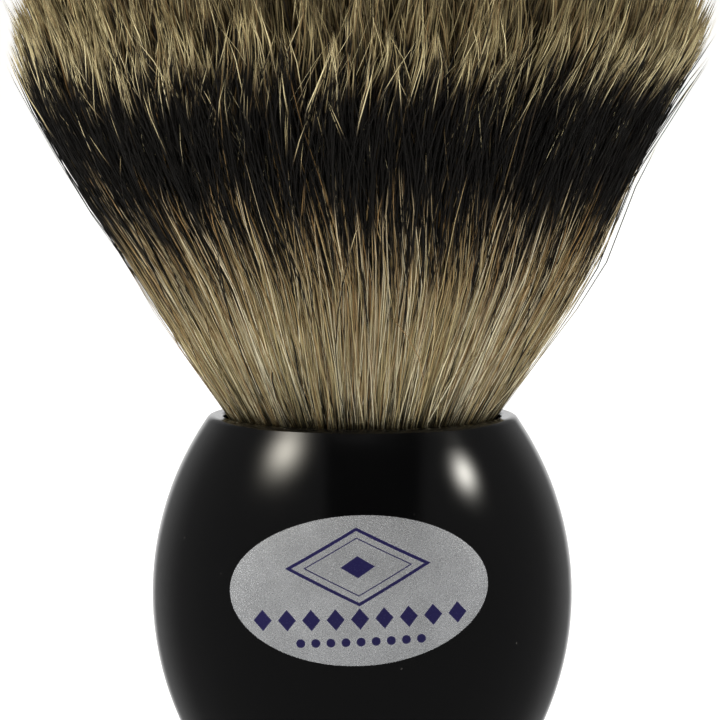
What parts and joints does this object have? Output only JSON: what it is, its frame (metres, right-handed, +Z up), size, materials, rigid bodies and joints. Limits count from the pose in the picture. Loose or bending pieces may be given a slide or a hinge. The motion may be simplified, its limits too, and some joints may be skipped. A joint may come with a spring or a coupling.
{
  "type": "shaving brush",
  "caption": "Shaving brush with a flared knot of banded hair bound in a ring and glued into a round-bellied black handle; outer hair splays when pressed.",
  "frame": {"origin": "middle of the foot's underside, on the surface the brush stands on", "axes": "+Z up the brush's own axis from the foot to the hair tips, -Y out of the front, where the label is"},
  "size_m": [0.0608, 0.0608, 0.1017],
  "materials": {
    "black_resin": "polished cast resin, high gloss",
    "label_foil": "silver foil with a fine metallic flake and a thin dark oval line",
    "socket_glue": "cured adhesive, slightly cloudy",
    "ring_metal": "plain drawn metal",
    "plug_epoxy": "amber epoxy",
    "thread": "waxed cotton thread",
    "badger_hair": "natural hair: beige at the root, a near-black band, pale tips"
  },
  "bodies": {
    "brush": {"handle_body": "black_resin", "label": "label_foil", "socket_glue": "socket_glue", "knot_ring": "ring_metal", "glue_plug": "plug_epoxy", "binding_thread": "thread", "hair_roots": "badger_hair", "hair_core": "badger_hair"},
    "tuft_01": {"hair_tuft_01": "badger_hair"},
    "tuft_02": {"hair_tuft_02": "badger_hair"},
    "tuft_03": {"hair_tuft_03": "badger_hair"},
    "tuft_04": {"hair_tuft_04": "badger_hair"},
    "tuft_05": {"hair_tuft_05": "badger_hair"},
    "tuft_06": {"hair_tuft_06": "badger_hair"},
    "tuft_07": {"hair_tuft_07": "badger_hair"},
    "tuft_08": {"hair_tuft_08": "badger_hair"},
    "tuft_09": {"hair_tuft_09": "badger_hair"},
    "tuft_10": {"hair_tuft_10": "badger_hair"},
    "tuft_11": {"hair_tuft_11": "badger_hair"},
    "tuft_12": {"hair_tuft_12": "badger_hair"}
  },
  "joints": [
    {"name": "tuft_01_splay", "type": "hinge", "parent": "brush", "child": "tuft_01", "pos_m": [0, -0.009, 0.0517], "axis": [1, 0, 0], "range_deg": [0, 20], "stiffness_Nm_per_rad": 0.025, "springref_deg": -5.73},
    {"name": "tuft_02_splay", "type": "hinge", "parent": "brush", "child": "tuft_02", "pos_m": [0.0045, -0.00779, 0.0517], "axis": [0.866, 0.5, 0], "range_deg": [0, 20], "stiffness_Nm_per_rad": 0.025, "springref_deg": -5.73},
    {"name": "tuft_03_splay", "type": "hinge", "parent": "brush", "child": "tuft_03", "pos_m": [0.00779, -0.0045, 0.0517], "axis": [0.5, 0.866, 0], "range_deg": [0, 20], "stiffness_Nm_per_rad": 0.025, "springref_deg": -5.73},
    {"name": "tuft_04_splay", "type": "hinge", "parent": "brush", "child": "tuft_04", "pos_m": [0.009, 0, 0.0517], "axis": [0, 1, 0], "range_deg": [0, 20], "stiffness_Nm_per_rad": 0.025, "springref_deg": -5.73},
    {"name": "tuft_05_splay", "type": "hinge", "parent": "brush", "child": "tuft_05", "pos_m": [0.00779, 0.0045, 0.0517], "axis": [-0.5, 0.866, 0], "range_deg": [0, 20], "stiffness_Nm_per_rad": 0.025, "springref_deg": -5.73},
    {"name": "tuft_06_splay", "type": "hinge", "parent": "brush", "child": "tuft_06", "pos_m": [0.0045, 0.00779, 0.0517], "axis": [-0.866, 0.5, 0], "range_deg": [0, 20], "stiffness_Nm_per_rad": 0.025, "springref_deg": -5.73},
    {"name": "tuft_07_splay", "type": "hinge", "parent": "brush", "child": "tuft_07", "pos_m": [0, 0.009, 0.0517], "axis": [-1, 0, 0], "range_deg": [0, 20], "stiffness_Nm_per_rad": 0.025, "springref_deg": -5.73},
    {"name": "tuft_08_splay", "type": "hinge", "parent": "brush", "child": "tuft_08", "pos_m": [-0.0045, 0.00779, 0.0517], "axis": [-0.866, -0.5, 0], "range_deg": [0, 20], "stiffness_Nm_per_rad": 0.025, "springref_deg": -5.73},
    {"name": "tuft_09_splay", "type": "hinge", "parent": "brush", "child": "tuft_09", "pos_m": [-0.00779, 0.0045, 0.0517], "axis": [-0.5, -0.866, 0], "range_deg": [0, 20], "stiffness_Nm_per_rad": 0.025, "springref_deg": -5.73},
    {"name": "tuft_10_splay", "type": "hinge", "parent": "brush", "child": "tuft_10", "pos_m": [-0.009, 0, 0.0517], "axis": [0, -1, 0], "range_deg": [0, 20], "stiffness_Nm_per_rad": 0.025, "springref_deg": -5.73},
    {"name": "tuft_11_splay", "type": "hinge", "parent": "brush", "child": "tuft_11", "pos_m": [-0.00779, -0.0045, 0.0517], "axis": [0.5, -0.866, 0], "range_deg": [0, 20], "stiffness_Nm_per_rad": 0.025, "springref_deg": -5.73},
    {"name": "tuft_12_splay", "type": "hinge", "parent": "brush", "child": "tuft_12", "pos_m": [-0.0045, -0.00779, 0.0517], "axis": [0.866, -0.5, 0], "range_deg": [0, 20], "stiffness_Nm_per_rad": 0.025, "springref_deg": -5.73}
  ]
}
